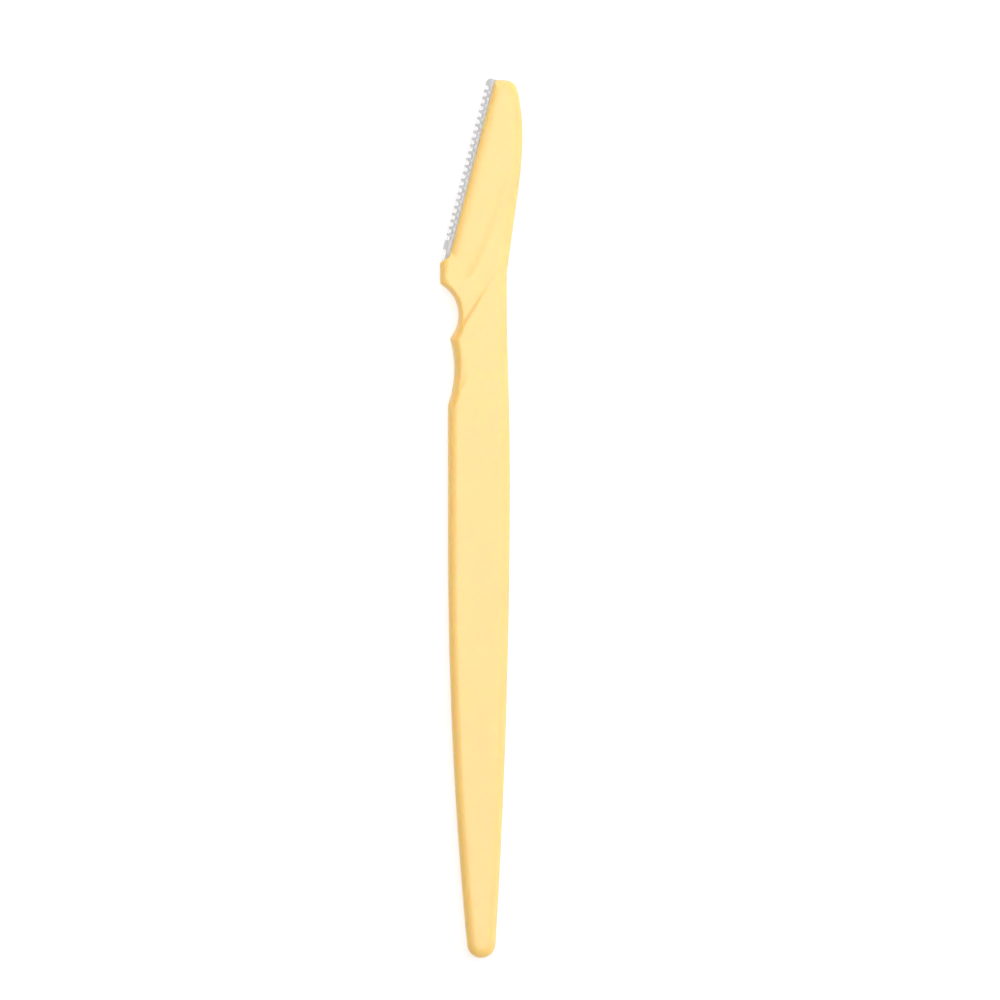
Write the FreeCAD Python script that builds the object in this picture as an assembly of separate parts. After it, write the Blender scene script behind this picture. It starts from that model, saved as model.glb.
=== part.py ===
"""Eyebrow razor: a moulded handle, a ground blade set in its head, and a comb guard folded over the edge.

Millimetres. The razor lies on its back: +Y runs from the tip of the grip to the head, the blade looks
towards -X, and +Z is up. Places along the head and the scallops are measured up or down from the neck, where
the grip's back edge turns out into the head. The last step moves the razor so that the origin is under the
middle of its box.
"""
import FreeCAD, Part
import math
import os

V = FreeCAD.Vector
UP = V(0, 0, 1)

# Grip, seen from above: x from its axis, lengths from its tip
GRIP_LENGTH = 116.8
THICKNESS = 4.6
TIP_RADIUS = 2.44
FRONT_X = -5.67
FRONT_TAPER_LENGTH = 69.7
BACK_X = 4.9
BACK_TAPER_LENGTH = 82.0
NECK_BACK_X = 4.35
NECK_BLEND = 18.0

# Soft edge all round: a shallow slope, rounded into the side
EDGE_SLOPE_WIDTH = 1.5
EDGE_SLOPE_DROP = 0.4
EDGE_ROUND = 1.15

# Head
HEAD_LENGTH = 33.0
HEAD_BACK_X = 7.04
HEAD_BACK_RADIUS = 62.0
HEAD_CROWN = 9.3
HEAD_LEAN_RADIUS = 34.0
HEAD_CORNER_ROUND = 2.2
HEAD_TOP_WIDTH = 4.67
SHOULDER_WIDTH = 1.9
SHOULDER_CROWN = 5.0
SHOULDER_ROUND = 0.55
SHOULDER_FOOT = 1.8

# Soft valley between the head's pad and its spine: its crest line, and the flank down from it to the pad
VALLEY_DEPTH = 0.2
VALLEY_FLANK = 1.5
VALLEY_PAD = 1.7
VALLEY_TOP_X = 7.0
VALLEY_TOP_UP = 23.7
VALLEY_MIDDLE_X = 3.0
VALLEY_MIDDLE_UP = 9.5
VALLEY_FOOT_X = -1.3
VALLEY_FOOT_UP = 0.2
VALLEY_HOOK_RADIUS = 3.4
VALLEY_TAIL = 3.0
VALLEY_TAIL_TILT = 2.1

# Knuckle and finger scallops
KNUCKLE_FRONT_X = -7.04
KNUCKLE_TOP_UP = 1.85
UPPER_SCALLOP_RADIUS = 5.97
UPPER_SCALLOP_X = -3.88
UPPER_SCALLOP_DOWN = 7.1
LOWER_SCALLOP_RADIUS = 18.0
LOWER_SCALLOP_X = -4.6
LOWER_SCALLOP_DOWN = 16.2
SCALLOP_ROUND = 1.9
UPPER_RIM_LEAST = 0.4
UPPER_RIM_MOST = 2.0
UPPER_RIM_ANGLE = -60.0

# Dished faces beside the scallops: deepest where the crease starts at the scallop, nothing where it ends
NECK_DIP_DEPTH = 0.34
NECK_CREASE_START_X = -4.3
NECK_CREASE_START_DOWN = 10.2
NECK_CREASE_END_X = 3.0
NECK_CREASE_END_UP = 1.2
NECK_FADE_X = -6.5
NECK_FADE_DOWN = 2.8
FINGER_DIP_DEPTH = 0.35
FINGER_CREASE_START_X = -5.0
FINGER_CREASE_START_DOWN = 20.7
FINGER_CREASE_END_X = -2.1
FINGER_CREASE_END_DOWN = 17.8
FINGER_FADE_X = -3.4
FINGER_FADE_DOWN = 12.0
CREASE_FLARE = 1.9

# Blade and its slot, measured along the root line from the knuckle to the head's top, and across it into the
# plastic
ROOT_START_X = -5.4
ROOT_START_UP = 2.95
BLADE_THICKNESS = 0.25
BLADE_EXPOSED = 1.12
BLADE_BURIED = 3.2
BLADE_HEEL = 1.9
BLADE_CORNER = 0.8
BLADE_PROUD = 0.1
BEVEL_WIDTH = 0.67
EDGE_THICKNESS = 0.03
POST_COUNT = 3
POST_RADIUS = 0.7
POST_DEPTH = 2.0
SEAT_CLEARANCE = 0.02
POST_CLEARANCE = 0.06

# Comb guard
FOIL_THICKNESS = 0.12
GUARD_BURIED = 0.9
GUARD_REACH = 1.38
GUARD_BEND = 0.55
NOSE_HALF = 0.10
FINGER_COUNT = 24
FINGER_PITCH = 1.205
FINGER_WIDTH = 0.6
FINGER_TIP_WIDTH = 0.34
TOP_FINGER_INSET = 1.1
WINDOW_START = 0.22
WINDOW_CORNER = 0.12
WINDOW_FLARE = 0.9
HEEL_NOTCH_RADIUS = 0.92


def at_neck(x, up):
    return V(x, GRIP_LENGTH + up, 0)


HALF = THICKNESS / 2
MOUTH_HALF = BLADE_THICKNESS / 2 + FOIL_THICKNESS + 2 * SEAT_CLEARANCE
HEAD_TOP_LEFT = at_neck(HEAD_BACK_X - HEAD_TOP_WIDTH, HEAD_LENGTH)
ROOT_START = at_neck(ROOT_START_X, ROOT_START_UP)
ROOT_LENGTH = ROOT_START.distanceToPoint(HEAD_TOP_LEFT)
ROOT_LEAN = math.degrees(math.atan2(HEAD_TOP_LEFT.x - ROOT_START.x, HEAD_TOP_LEFT.y - ROOT_START.y))
TO_ROOT = FreeCAD.Placement(ROOT_START, FreeCAD.Rotation(UP, -ROOT_LEAN))
BLADE_TOP = ROOT_LENGTH + BLADE_PROUD
UPPER_SCALLOP = at_neck(UPPER_SCALLOP_X, -UPPER_SCALLOP_DOWN)
LOWER_SCALLOP = at_neck(LOWER_SCALLOP_X, -LOWER_SCALLOP_DOWN)
KNUCKLE_TOP = at_neck(KNUCKLE_FRONT_X, KNUCKLE_TOP_UP)
OVERSHOOT = THICKNESS
RIM_RINGS = 6
RIM_OVERSHOOT = 0.06


def line(a, b):
    return Part.LineSegment(a, b).toShape()


def arc(a, middle, b):
    return Part.Arc(a, middle, b).toShape()


def polyline(points):
    return [line(a, b) for a, b in zip(points, points[1:])]


def slab(edges, low, high):
    """A flat outline of edges, made solid between two heights."""
    face = Part.Face(Part.Wire(edges))
    face.translate(V(0, 0, low))
    return face.extrude(V(0, 0, high - low))


def polygon_face(points):
    return Part.Face(Part.makePolygon(points + points[:1]))


def both_faces(tool):
    """A tool for the upper face together with its mirror image for the lower face."""
    return [tool, tool.mirror(V(0, 0, 0), UP)]


def halfway(a, b):
    """The direction midway between two directions."""
    return (a.normalize() + b.normalize()).normalize()


def rim_edges(solid, height, plain):
    """Level edges at a height above and below the middle plane, without those over the plain runs."""
    chosen = []
    for edge in solid.Edges:
        box = edge.BoundBox
        level = box.ZLength < 1e-6 and abs(abs(box.ZMin) - height) < 1e-6
        middle = edge.valueAt((edge.FirstParameter + edge.LastParameter) / 2)
        if level and Part.Vertex(middle.x, middle.y, 0).distToShape(plain)[0] > 1e-3:
            chosen.append(edge)
    return chosen


def soft_edge(solid, plain_runs):
    """Slopes and rounds the upper and lower rims of a solid, but not over the plain runs of its outline."""
    plain = Part.Compound(plain_runs)
    sloped = solid.makeChamfer(EDGE_SLOPE_DROP, EDGE_SLOPE_WIDTH, rim_edges(solid, HALF, plain))
    return sloped.makeFillet(EDGE_ROUND, rim_edges(sloped, HALF - EDGE_SLOPE_DROP, plain))


def taper_to_tip(edge_x, taper_length):
    """A side that leaves a straight edge smoothly and runs smoothly into the round tip."""
    tip = V(0, TIP_RADIUS, 0)
    start = V(edge_x, taper_length, 0)
    across = abs(edge_x)
    along = taper_length - TIP_RADIUS
    radius = (across**2 + along**2 - TIP_RADIUS**2) / (2 * (across - TIP_RADIUS))
    centre = V(edge_x - math.copysign(radius, edge_x), taper_length, 0)
    middle = centre + halfway(start - centre, tip - centre) * radius
    end = centre + (tip - centre).normalize() * radius
    return start, middle, end


def tangent_touch(point, centre, radius):
    """Where a line up from a point beside a circle touches the circle."""
    spoke = point - centre
    swing = math.degrees(math.acos(radius / spoke.Length))
    return centre + FreeCAD.Rotation(UP, swing).multVec(spoke.normalize()) * radius


def corner_arc(before, corner, after, radius):
    """A round that replaces the corner between two straight runs: its start, middle and end."""
    back = (before - corner).normalize()
    ahead = (after - corner).normalize()
    half_turn = (math.pi - back.getAngle(ahead)) / 2
    trim = radius * math.tan(half_turn)
    middle = corner + halfway(back, ahead) * (radius / math.cos(half_turn) - radius)
    return corner + back * trim, middle, corner + ahead * trim


def grip_back(neck_start):
    """The grip's back edge: tapered to the tip, a slight swell, then upright below the neck."""
    start, middle, end = taper_to_tip(BACK_X, BACK_TAPER_LENGTH)
    half_run = V(0, (neck_start.y - start.y) / 2, 0)
    half_step = V((neck_start.x - start.x) / 2, 0, 0)
    turn = start + half_run + half_step
    lower = start + half_run / 2 + half_step / 4
    upper = neck_start - half_run / 2 - half_step / 4
    return end, [arc(end, middle, start), arc(start, lower, turn), arc(turn, upper, neck_start)]


def head_back():
    """The head's back edge: out from the neck, round its widest point, in again, a round corner into the top."""
    right = V(1, 0, 0)
    widest = at_neck(HEAD_BACK_X, HEAD_LENGTH - HEAD_CROWN)
    low_centre = widest - right * HEAD_BACK_RADIUS
    neck = at_neck(NECK_BACK_X, 0)
    touch = tangent_touch(neck, low_centre, HEAD_BACK_RADIUS)
    neck_start, neck_middle, neck_end = corner_arc(V(neck.x, 0, 0), neck, touch, NECK_BLEND)
    rise = low_centre + halfway(touch - low_centre, right) * HEAD_BACK_RADIUS
    high_centre = widest - right * HEAD_LEAN_RADIUS
    corner_up = HEAD_CROWN - HEAD_CORNER_ROUND
    corner_out = math.sqrt((HEAD_LEAN_RADIUS - HEAD_CORNER_ROUND) ** 2 - corner_up**2)
    corner = high_centre + V(corner_out, corner_up, 0)
    outward = (corner - high_centre).normalize()
    lean = high_centre + halfway(outward, right) * HEAD_LEAN_RADIUS
    corner_low = corner + outward * HEAD_CORNER_ROUND
    corner_middle = corner + halfway(outward, V(0, 1, 0)) * HEAD_CORNER_ROUND
    corner_top = corner + V(0, HEAD_CORNER_ROUND, 0)
    return neck_start, [
        arc(neck_start, neck_middle, neck_end),
        line(neck_end, touch),
        arc(touch, rise, widest),
        arc(widest, lean, corner_low),
        arc(corner_low, corner_middle, corner_top),
        line(corner_top, HEAD_TOP_LEFT),
    ]


def body():
    """Grip, neck and head in one smooth outline, soft along every edge but the blade's side."""
    neck_start, head_edges = head_back()
    tip_back, back_edges = grip_back(neck_start)
    start, middle, tip_front = taper_to_tip(FRONT_X, FRONT_TAPER_LENGTH)
    front_top = V(FRONT_X, UPPER_SCALLOP.y, 0)
    hollow = UPPER_SCALLOP + V(0, UPPER_SCALLOP_RADIUS / 2, 0)
    blade_side = polyline([HEAD_TOP_LEFT, ROOT_START, hollow, front_top])
    outline = [arc(tip_front, V(0, 0, 0), tip_back)] + back_edges + head_edges + blade_side
    outline += [line(front_top, start), arc(start, middle, tip_front)]
    return soft_edge(slab(outline, -HALF, HALF), blade_side)


def knuckle():
    """The knuckle that stands out between the upper scallop and the blade's heel."""
    inner_x = UPPER_SCALLOP.x + SCALLOP_ROUND
    low_front = V(KNUCKLE_FRONT_X, UPPER_SCALLOP.y, 0)
    low_inner = V(inner_x, UPPER_SCALLOP.y, 0)
    high_inner = V(inner_x, ROOT_START.y, 0)
    plain = polyline([low_front, low_inner, high_inner, ROOT_START, KNUCKLE_TOP])
    return soft_edge(slab(plain + [line(KNUCKLE_TOP, low_front)], -HALF, HALF), plain)


def scallop(deepest, radius, least, most, most_angle):
    """A finger scallop cutter: an upright wall whose rim flares at both faces, from least width to most."""
    centre = deepest - V(radius, 0, 0)
    wide_side = FreeCAD.Rotation(UP, most_angle).multVec(V(1, 0, 0))
    flat = HALF - SCALLOP_ROUND
    rise = SCALLOP_ROUND + RIM_OVERSHOOT
    rings = [Part.Circle(centre, UP, radius), Part.Circle(centre + UP * flat / 2, UP, radius)]
    for step in range(RIM_RINGS + 1):
        turn = math.radians(90 * step / RIM_RINGS)
        flare = 1 - math.cos(turn)
        middle = centre + wide_side * (most - least) / 2 * flare + UP * (flat + rise * math.sin(turn))
        rings.append(Part.Circle(middle, UP, radius + (most + least) / 2 * flare))
    upper = [Part.Wire(ring.toShape()) for ring in rings]
    lower = [wire.mirror(V(0, 0, 0), UP) for wire in reversed(upper[1:])]
    return Part.makeLoft(lower + upper, True)


def face_dip(start, end, fade, depth):
    """Cutter for a dished face: deepest at the crease's start, level with the face from its end to the fade."""
    hinge = (fade - end).normalize()
    across = V(-hinge.y, hinge.x, 0)
    span = across.dot(start - end)
    outside = (start * 3 - end) / 2
    beyond = (fade * 3 - end) / 2

    def on_dish(point):
        return V(point.x, point.y, HALF - depth * across.dot(point - end) / span)

    crease = (end - start).normalize()
    lean = V(crease.y, -crease.x, 0) * CREASE_FLARE
    return polygon_face([on_dish(p) for p in (outside, end, beyond)]).extrude((UP + lean) * OVERSHOOT)


def neck_dip():
    start = at_neck(NECK_CREASE_START_X, -NECK_CREASE_START_DOWN)
    end = at_neck(NECK_CREASE_END_X, NECK_CREASE_END_UP)
    fade = at_neck(NECK_FADE_X, -NECK_FADE_DOWN)
    return face_dip(start, end, fade, NECK_DIP_DEPTH)


def finger_dip():
    start = at_neck(FINGER_CREASE_START_X, -FINGER_CREASE_START_DOWN)
    end = at_neck(FINGER_CREASE_END_X, -FINGER_CREASE_END_DOWN)
    fade = at_neck(FINGER_FADE_X, -FINGER_FADE_DOWN)
    return face_dip(start, end, fade, FINGER_DIP_DEPTH)


def shoulder_cut():
    """Cutter that crowns the head down to the blade's root line and rounds it there, fading at the knuckle."""
    lean = math.asin((SHOULDER_WIDTH - SHOULDER_ROUND) / (SHOULDER_CROWN - SHOULDER_ROUND))
    crown = V(SHOULDER_WIDTH, 0, HALF - SHOULDER_CROWN)
    inner = crown + UP * SHOULDER_CROWN

    def spoke(angle):
        return V(-math.sin(angle), 0, math.cos(angle))

    centre = crown + spoke(lean) * (SHOULDER_CROWN - SHOULDER_ROUND)
    meet = centre + spoke(lean) * SHOULDER_ROUND
    edge = centre + spoke(math.pi / 2) * SHOULDER_ROUND
    beside = edge - V(OVERSHOOT, 0, 0)
    above = UP * OVERSHOOT
    section = [
        arc(edge, centre + spoke((lean + math.pi / 2) / 2) * SHOULDER_ROUND, meet),
        arc(meet, crown + spoke(lean / 2) * SHOULDER_CROWN, inner),
    ] + polyline([inner, inner + above, beside + above, beside, edge])
    tool = Part.Face(Part.Wire(section)).extrude(V(0, ROOT_LENGTH + OVERSHOOT, 0))
    foot = [beside, V(beside.x, 0, HALF), beside + V(0, SHOULDER_FOOT, 0)]
    tool = tool.cut(polygon_face(foot).extrude(V(OVERSHOOT + SHOULDER_WIDTH, 0, 0)))
    tool.Placement = TO_ROOT
    return tool


def valley_cut():
    """Cutter for the valley: a flank down from the crest and a slope up to the pad, swept along the crest, which
    leaves the face at the head's top and fades again past the hook round the pad's foot."""
    top = at_neck(VALLEY_TOP_X, VALLEY_TOP_UP)
    foot = at_neck(VALLEY_FOOT_X, VALLEY_FOOT_UP)
    down_head = arc(top, at_neck(VALLEY_MIDDLE_X, VALLEY_MIDDLE_UP), foot)
    begin = down_head.tangentAt(down_head.FirstParameter)
    heading = down_head.tangentAt(down_head.LastParameter)
    centre = foot + V(heading.y, -heading.x, 0) * VALLEY_HOOK_RADIUS
    low = centre - V(0, VALLEY_HOOK_RADIUS, 0)
    hook = arc(foot, centre + halfway(foot - centre, low - centre) * VALLEY_HOOK_RADIUS, low)
    tail = line(low, low - V(VALLEY_TAIL, 0, 0))
    for run in (hook, tail):
        run.rotate(foot, heading, -VALLEY_TAIL_TILT)
    to_pad = V(begin.y, -begin.x, 0)
    bottom = top + to_pad * VALLEY_FLANK - UP * VALLEY_DEPTH
    flank_middle = top + to_pad * VALLEY_FLANK / 2 - UP * VALLEY_DEPTH * 3 / 4
    pad_edge = bottom + to_pad * VALLEY_PAD + UP * VALLEY_DEPTH
    section = [arc(top, flank_middle, bottom)]
    section += polyline([bottom, pad_edge, pad_edge + UP * OVERSHOOT, top + UP * OVERSHOOT, top])
    tool = Part.Wire([down_head, hook, tail]).makePipeShell([Part.Wire(section)], True, False)
    chord = top - foot
    fade = math.degrees(math.asin(VALLEY_DEPTH / chord.Length))
    tool.rotate(foot, V(chord.y, -chord.x, 0), fade)
    tool.translate(UP * HALF)
    return tool


def post_places():
    """Posts share the root line evenly, half a share from each end."""
    share = ROOT_LENGTH / POST_COUNT
    return [V(POST_DEPTH, share * (i + 0.5), 0) for i in range(POST_COUNT)]


def blade_outline(grow, top):
    """Blade seen from above in the root line's frame, larger all round by a clearance."""
    out = -BLADE_EXPOSED - grow
    deep = BLADE_BURIED + grow
    heel = -BLADE_HEEL - grow
    corner = BLADE_CORNER + grow
    bow = corner * (1 - math.sqrt(0.5))
    top_start = V(out + corner, top, 0)
    top_end = V(out, top - corner, 0)
    heel_start = V(out, heel + corner, 0)
    heel_end = V(out + corner, heel, 0)
    return [
        arc(top_start, V(out + bow, top - bow, 0), top_end),
        line(top_end, heel_start),
        arc(heel_start, V(out + bow, heel + bow, 0), heel_end),
    ] + polyline([heel_end, V(deep, heel, 0), V(deep, top, 0), top_start])


def slot_cut():
    """The slot in the head: a narrow pocket for the blade, a wider mouth for the guard's legs, posts left."""
    pocket_half = BLADE_THICKNESS / 2 + SEAT_CLEARANCE
    pocket = slab(blade_outline(SEAT_CLEARANCE, BLADE_TOP + OVERSHOOT), -pocket_half, pocket_half)
    posts = [Part.makeCylinder(POST_RADIUS, THICKNESS, p - UP * HALF) for p in post_places()]
    mouth_depth = GUARD_BURIED + SEAT_CLEARANCE
    mouth_corner = V(-GUARD_REACH, 0, -MOUTH_HALF)
    mouth = Part.makeBox(mouth_depth + GUARD_REACH, ROOT_LENGTH + OVERSHOOT, 2 * MOUTH_HALF, mouth_corner)
    tool = pocket.cut(posts).fuse(mouth)
    tool.Placement = TO_ROOT
    return tool


def handle():
    solid = body().fuse(knuckle())
    upper_rim = (UPPER_RIM_LEAST, UPPER_RIM_MOST, UPPER_RIM_ANGLE)
    upper_scallop = scallop(UPPER_SCALLOP, UPPER_SCALLOP_RADIUS, *upper_rim)
    lower_scallop = scallop(LOWER_SCALLOP, LOWER_SCALLOP_RADIUS, SCALLOP_ROUND, SCALLOP_ROUND, 0)
    cutters = [upper_scallop, lower_scallop, slot_cut()]
    for tool in (shoulder_cut(), valley_cut(), neck_dip(), finger_dip()):
        cutters += both_faces(tool)
    for cutter in cutters:
        solid = solid.cut(cutter)
    return solid.removeSplitter()


def blade():
    """Stainless strip, ground from both faces to its edge, with a hole for each post."""
    half = BLADE_THICKNESS / 2
    strip = slab(blade_outline(0, BLADE_TOP), -half, half)
    grind_start = -BLADE_EXPOSED + BEVEL_WIDTH
    past = -BLADE_EXPOSED - BLADE_THICKNESS
    slope = (half - EDGE_THICKNESS / 2) / BEVEL_WIDTH
    low = half - slope * (grind_start - past)
    wedge = [
        V(grind_start, -BLADE_HEEL, half),
        V(past, -BLADE_HEEL, low),
        V(past, -BLADE_HEEL, BLADE_THICKNESS),
        V(grind_start, -BLADE_HEEL, BLADE_THICKNESS),
    ]
    grind = polygon_face(wedge).extrude(V(0, BLADE_TOP + BLADE_HEEL, 0))
    hole_radius = POST_RADIUS + POST_CLEARANCE
    holes = [Part.makeCylinder(hole_radius, BLADE_THICKNESS, p - UP * half) for p in post_places()]
    strip = strip.cut(both_faces(grind) + holes)
    strip.Placement = TO_ROOT
    return strip


def guard_section():
    """Cross section of the folded foil: two flat legs, a bend towards the edge and a round nose."""
    inner = BLADE_THICKNESS / 2 + SEAT_CLEARANCE
    outer = inner + FOIL_THICKNESS
    nose = V(-GUARD_REACH, 0, 0)
    apex = V(-GUARD_REACH + FOIL_THICKNESS + SEAT_CLEARANCE, 0, 0)
    upper = [V(GUARD_BURIED, 0, outer), V(-GUARD_BEND, 0, outer), V(nose.x + NOSE_HALF, 0, NOSE_HALF)]
    lower = [V(p.x, 0, -p.z) for p in reversed(upper)]
    inside = [V(GUARD_BURIED, 0, -inner), V(-GUARD_BEND, 0, -inner), apex]
    inside += [V(p.x, 0, -p.z) for p in reversed(inside[:2])]
    edges = polyline(upper) + [arc(upper[-1], nose, lower[0])] + polyline(lower + inside + upper[:1])
    return Part.Face(Part.Wire(edges))


def window(place):
    """Cutter for the gap between two fingers, wider where the fingers narrow to their tips."""
    gap = (FINGER_PITCH - FINGER_WIDTH) / 2
    tip_gap = (FINGER_PITCH - FINGER_TIP_WIDTH) / 2
    upper = [
        V(-WINDOW_START, gap - WINDOW_CORNER, 0),
        V(-WINDOW_START - WINDOW_CORNER, gap, 0),
        V(-WINDOW_FLARE, gap, 0),
        V(-GUARD_REACH, tip_gap, 0),
        V(-GUARD_REACH - OVERSHOOT, tip_gap, 0),
    ]
    lower = [V(p.x, -p.y, 0) for p in reversed(upper)]
    tool = slab(polyline(upper + lower + upper[:1]), -HALF, HALF)
    tool.translate(V(0, place, 0))
    return tool


def top_corner():
    """Cutter that rounds the guard's outer corner at the head's top."""
    bow = BLADE_CORNER * (1 - math.sqrt(0.5))
    start = V(-GUARD_REACH + BLADE_CORNER, BLADE_TOP, 0)
    middle = V(-GUARD_REACH + bow, BLADE_TOP - bow, 0)
    end = V(-GUARD_REACH, BLADE_TOP - BLADE_CORNER, 0)
    left = -GUARD_REACH - OVERSHOOT
    above = BLADE_TOP + OVERSHOOT
    around = [end, V(left, end.y, 0), V(left, above, 0), V(start.x, above, 0), start]
    return slab([arc(start, middle, end)] + polyline(around), -HALF, HALF)


def comb_guard():
    """Foil folded over the edge and slotted into fingers; its heel ends in a hollow quarter round."""
    foil = guard_section().extrude(V(0, BLADE_TOP - SEAT_CLEARANCE, 0))
    foil.translate(V(0, SEAT_CLEARANCE, 0))
    top_finger = BLADE_TOP - TOP_FINGER_INSET
    gaps = [top_finger - FINGER_PITCH * (i + 0.5) for i in range(FINGER_COUNT - 1)]
    heel = Part.makeCylinder(HEEL_NOTCH_RADIUS, THICKNESS, V(-GUARD_REACH, SEAT_CLEARANCE, -HALF))
    foil = foil.cut([window(place) for place in gaps] + [heel, top_corner()])
    foil.Placement = TO_ROOT
    return foil


def main():
    os.makedirs("parts", exist_ok=True)
    pieces = {"handle": handle(), "blade": blade(), "comb_guard": comb_guard()}
    box = FreeCAD.BoundBox()
    for shape in pieces.values():
        box.add(shape.optimalBoundingBox(False))
    to_origin = V(-box.Center.x, -box.Center.y, HALF)
    for name, shape in pieces.items():
        shape.translate(to_origin)
        shape.exportStep(f"parts/{name}.step")
        print(name, len(shape.Solids), "solid, valid", shape.isValid(), "volume", round(shape.Volume, 3))
    print("box", round(box.XLength, 3), round(box.YLength, 3), THICKNESS)


main()
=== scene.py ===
"""Looks of the eyebrow razor: satin yellow plastic, a grey steel blade and a bright steel guard.

It lies on a white table under one large softbox and three low ones, and is seen from straight above.
"""

from math import cos, radians, sin

import bpy
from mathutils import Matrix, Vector


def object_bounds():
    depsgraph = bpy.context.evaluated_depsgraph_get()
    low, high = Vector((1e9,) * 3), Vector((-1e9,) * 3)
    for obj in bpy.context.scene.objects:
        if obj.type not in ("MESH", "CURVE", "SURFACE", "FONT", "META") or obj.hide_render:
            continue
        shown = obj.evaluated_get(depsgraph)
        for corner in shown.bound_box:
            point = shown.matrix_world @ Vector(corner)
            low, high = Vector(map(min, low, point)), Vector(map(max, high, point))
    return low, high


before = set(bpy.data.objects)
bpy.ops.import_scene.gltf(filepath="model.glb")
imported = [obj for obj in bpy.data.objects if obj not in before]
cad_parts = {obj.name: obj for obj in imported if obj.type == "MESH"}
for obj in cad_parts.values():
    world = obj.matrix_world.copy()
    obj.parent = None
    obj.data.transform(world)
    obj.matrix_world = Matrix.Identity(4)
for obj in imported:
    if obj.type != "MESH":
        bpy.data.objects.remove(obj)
cad_low, cad_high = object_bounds()

MM = 0.001

# Camera: straight down, with the photograph's frame
FRAME_PIXELS = 1000
PIXEL_SIZE = 0.17065 * MM
FRAME_CENTRE_X = 3.2 * MM
FRAME_CENTRE_Y = 3.12 * MM
CAMERA_HEIGHT = 0.6

# Plastic, with the depth that light reaches in it and each colour's share of that depth
PALE_YELLOW = (0.93, 0.622, 0.172, 1)
DEEP_YELLOW = (0.915, 0.607, 0.162, 1)
MOTTLE_SCALE = 90
GRAIN_SCALE = 4500
GRAIN_HEIGHT = 0.004 * MM
PLASTIC_ROUGHNESS = (0.4, 0.46)
PLASTIC_IOR = 1.55
PLASTIC_GLOSS = 1.0
TRANSLUCENCY = 0.85
LIGHT_DEPTH = 2.0 * MM
COLOUR_DEPTHS = (1.0, 0.45, 0.12)

# Moulding: how finely the handle is meshed, and how much its edges are softened
MESH_SIZE = 0.15 * MM
SMOOTH_FACTOR = 0.5
SMOOTH_STEPS = 12
FACES_KEPT = 0.3

# Steel, with its brushed lines drawn out along the razor
LINE_SCALE = 9000
LINE_STRETCH = (1.0, 0.03, 1.0)
LINE_HEIGHT = 0.002 * MM
GUARD_GREYS = (0.62, 0.53)
GUARD_ROUGHNESS = (0.55, 0.65)
BLADE_GREYS = (0.39, 0.33)
BLADE_ROUGHNESS = (0.4, 0.5)

# Honed band along the cutting edge, which leans from the razor's length
EDGE_LEAN = radians(14.5)
OUTWARD = Vector((-cos(EDGE_LEAN), sin(EDGE_LEAN), 0.0))
HONED_WIDTH = 0.445 * MM
HONED_FADE = 0.15 * MM
HONED_GREY = 0.64

# Table
FLOOR_SIZE = 6.0
FLOOR_GREYS = (0.48, 0.46)
FLOOR_ROUGHNESS = 0.9
FLOOR_GLOW = 0.6
FIBRE_SCALE = 900

# Daylight, from above the horizon and from below it
SKY_STRENGTH = 0.18
BELOW_STRENGTH = 1.0
HORIZON_BLEND = 0.02

# Softboxes
KEY_PLACE = Vector((0.045, 0.05, 0.595))
KEY_SIZE = 0.55
KEY_POWER = 2.98
KEY_COLOUR = (1.0, 1.0, 1.0)
LOW_DISTANCE = 0.548
LOW_HEIGHT = 0.244
LOW_SIZE = 0.5
LOW_COLOUR = (0.8, 0.8, 1.0)
SIDE_POWER = 1.8
FOOT_POWER = 0.4

# Part of a noise's range that carries most of its pattern
NOISE_LOW = 0.3
NOISE_HIGH = 0.7


def grey(level):
    return (level, level, level, 1)


class Nodes:
    """The node tree of a material or a world, with short calls to add its nodes."""

    def __init__(self, owner, shader):
        owner.use_nodes = True
        self.owner = owner
        self.tree = owner.node_tree
        self.shader = self.tree.nodes[shader]
        self.coordinates = self.add("ShaderNodeTexCoord", {}).outputs

    def add(self, kind, inputs, **settings):
        node = self.tree.nodes.new(kind)
        for key, value in settings.items():
            setattr(node, key, value)
        self.feed(node, inputs)
        return node

    def feed(self, node, inputs):
        """Links each input to the socket that is given for it, or sets it to the plain value."""
        for key, source in inputs.items():
            if isinstance(source, bpy.types.NodeSocket):
                self.tree.links.new(source, node.inputs[key])
            else:
                node.inputs[key].default_value = source

    def noise(self, place, scale, detail):
        inputs = {"Vector": place, "Scale": scale, "Detail": detail}
        return self.add("ShaderNodeTexNoise", inputs).outputs["Fac"]

    def map_range(self, value, start, end, low=0.0, high=1.0):
        inputs = {"Value": value, "From Min": start, "From Max": end, "To Min": low, "To Max": high}
        return self.add("ShaderNodeMapRange", inputs).outputs["Result"]

    def spread(self, noise, low=0.0, high=1.0):
        return self.map_range(noise, NOISE_LOW, NOISE_HIGH, low, high)

    def mix(self, share, first, second):
        inputs = {"Factor": share, "A": first, "B": second}
        return self.add("ShaderNodeMix", inputs, data_type="RGBA").outputs["Result"]

    def bump(self, relief, height):
        inputs = {"Height": relief, "Distance": height}
        return self.add("ShaderNodeBump", inputs).outputs["Normal"]


def new_material(name):
    return Nodes(bpy.data.materials.new(name), "Principled BSDF")


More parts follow.
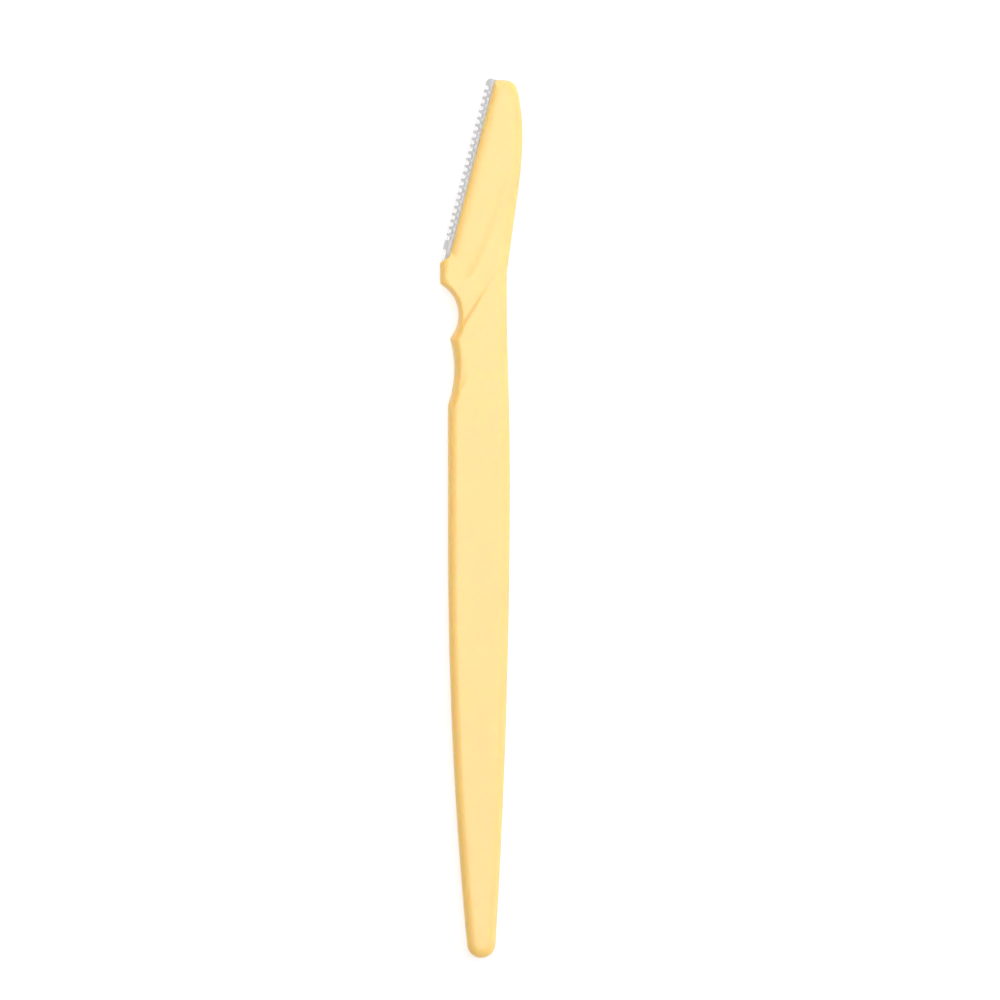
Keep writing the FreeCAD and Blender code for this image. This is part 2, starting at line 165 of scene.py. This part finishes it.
def plastic():
    """Pale yellow moulded plastic, slightly translucent, with a fine satin texture."""
    nodes = new_material("satin_plastic")
    place = nodes.coordinates["Object"]
    mottle = nodes.spread(nodes.noise(place, MOTTLE_SCALE, detail=3))
    grain = nodes.noise(place, GRAIN_SCALE, detail=2)
    nodes.feed(nodes.shader, {
        "Base Color": nodes.mix(mottle, PALE_YELLOW, DEEP_YELLOW),
        "Roughness": nodes.spread(grain, *PLASTIC_ROUGHNESS),
        "Normal": nodes.bump(grain, GRAIN_HEIGHT),
        "IOR": PLASTIC_IOR,
        "Specular IOR Level": PLASTIC_GLOSS,
        "Subsurface Weight": TRANSLUCENCY,
        "Subsurface Scale": LIGHT_DEPTH,
        "Subsurface Radius": COLOUR_DEPTHS,
    })
    return nodes.owner


def brush(nodes, greys, roughness):
    """Gives a material the fine lines of brushed steel, and returns their colour."""
    stretch = {"Vector": nodes.coordinates["Object"], "Scale": LINE_STRETCH}
    place = nodes.add("ShaderNodeMapping", stretch).outputs["Vector"]
    lines = nodes.noise(place, LINE_SCALE, detail=4)
    nodes.feed(nodes.shader, {
        "Metallic": 1.0,
        "Roughness": nodes.spread(lines, *roughness),
        "Normal": nodes.bump(lines, LINE_HEIGHT),
    })
    bright, dull = greys
    return nodes.mix(nodes.spread(lines), grey(bright), grey(dull))


def guard_steel():
    """Bright brushed foil."""
    nodes = new_material("guard_steel")
    nodes.feed(nodes.shader, {"Base Color": brush(nodes, GUARD_GREYS, GUARD_ROUGHNESS)})
    return nodes.owner


def blade_steel():
    """Grey rolled strip, honed bright along the cutting edge."""
    nodes = new_material("blade_steel")
    rolled = brush(nodes, BLADE_GREYS, BLADE_ROUGHNESS)
    directions = {0: nodes.coordinates["Object"], 1: OUTWARD}
    reach = nodes.add("ShaderNodeVectorMath", directions, operation="DOT_PRODUCT").outputs["Value"]
    edge = max(vertex.co.dot(OUTWARD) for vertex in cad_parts["blade"].data.vertices)
    start = edge - HONED_WIDTH
    honed = nodes.map_range(reach, start, start + HONED_FADE)
    nodes.feed(nodes.shader, {"Base Color": nodes.mix(honed, rolled, grey(HONED_GREY))})
    return nodes.owner


def floor_paper():
    """White paper with a faint fibre, which glows enough to look pure white."""
    nodes = new_material("floor_paper")
    fibre = nodes.spread(nodes.noise(nodes.coordinates["Object"], FIBRE_SCALE, detail=3))
    light, dark = FLOOR_GREYS
    nodes.feed(nodes.shader, {
        "Base Color": nodes.mix(fibre, grey(light), grey(dark)),
        "Roughness": FLOOR_ROUGHNESS,
        "Emission Color": grey(1.0),
        "Emission Strength": FLOOR_GLOW,
    })
    return nodes.owner


def dress(node, material):
    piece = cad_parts[node]
    piece.data.materials.clear()
    piece.data.materials.append(material)
    piece.data.shade_smooth()
    return piece


def soften(piece):
    """Rounds the sharp edges of the moulding a little, as a real mould leaves them."""
    remesh = piece.modifiers.new("even_mesh", "REMESH")
    remesh.mode = "VOXEL"
    remesh.voxel_size = MESH_SIZE
    remesh.use_smooth_shade = True
    smooth = piece.modifiers.new("soft_edges", "SMOOTH")
    smooth.factor = SMOOTH_FACTOR
    smooth.iterations = SMOOTH_STEPS
    thin = piece.modifiers.new("fewer_faces", "DECIMATE")
    thin.ratio = FACES_KEPT


def table():
    bpy.ops.mesh.primitive_plane_add(size=FLOOR_SIZE, location=(0, 0, cad_low.z))
    floor = bpy.context.object
    floor.name = "floor"
    floor.data.materials.append(floor_paper())


def daylight():
    """Dim white light from above the horizon, and bright white below it."""
    nodes = Nodes(bpy.data.worlds.new("daylight"), "Background")
    direction = {"Vector": nodes.coordinates["Generated"]}
    height = nodes.add("ShaderNodeSeparateXYZ", direction).outputs["Z"]
    strength = nodes.map_range(height, -HORIZON_BLEND, 0.0, BELOW_STRENGTH, SKY_STRENGTH)
    nodes.feed(nodes.shader, {"Color": grey(1.0), "Strength": strength})
    bpy.context.scene.world = nodes.owner


def softbox(name, place, size, power, colour):
    """A square area light that looks at the middle of the razor."""
    light = bpy.data.lights.new(name, "AREA")
    light.size = size
    light.energy = power
    light.color = colour
    lamp = bpy.data.objects.new(name, light)
    lamp.location = place
    lamp.rotation_euler = place.to_track_quat("Z", "Y").to_euler()
    bpy.context.scene.collection.objects.link(lamp)


def low_softbox(name, x, y, power):
    """A slightly blue softbox near the table, on the side that x and y point to."""
    place = Vector((x * LOW_DISTANCE, y * LOW_DISTANCE, LOW_HEIGHT))
    softbox(name, place, LOW_SIZE, power, LOW_COLOUR)


def camera():
    data = bpy.data.cameras.new("camera")
    data.type = "ORTHO"
    data.ortho_scale = FRAME_PIXELS * PIXEL_SIZE
    eye = bpy.data.objects.new("camera", data)
    eye.location = (FRAME_CENTRE_X, FRAME_CENTRE_Y, CAMERA_HEIGHT)
    bpy.context.scene.collection.objects.link(eye)
    bpy.context.scene.camera = eye


soften(dress("handle", plastic()))
dress("blade", blade_steel())
dress("comb_guard", guard_steel())

table()
daylight()
softbox("key", KEY_PLACE, KEY_SIZE, KEY_POWER, KEY_COLOUR)
low_softbox("right", 1, 0, SIDE_POWER)
low_softbox("head", 0, 1, SIDE_POWER)
low_softbox("foot", 0, -1, FOOT_POWER)
camera()
bpy.context.scene.view_settings.view_transform = "Standard"
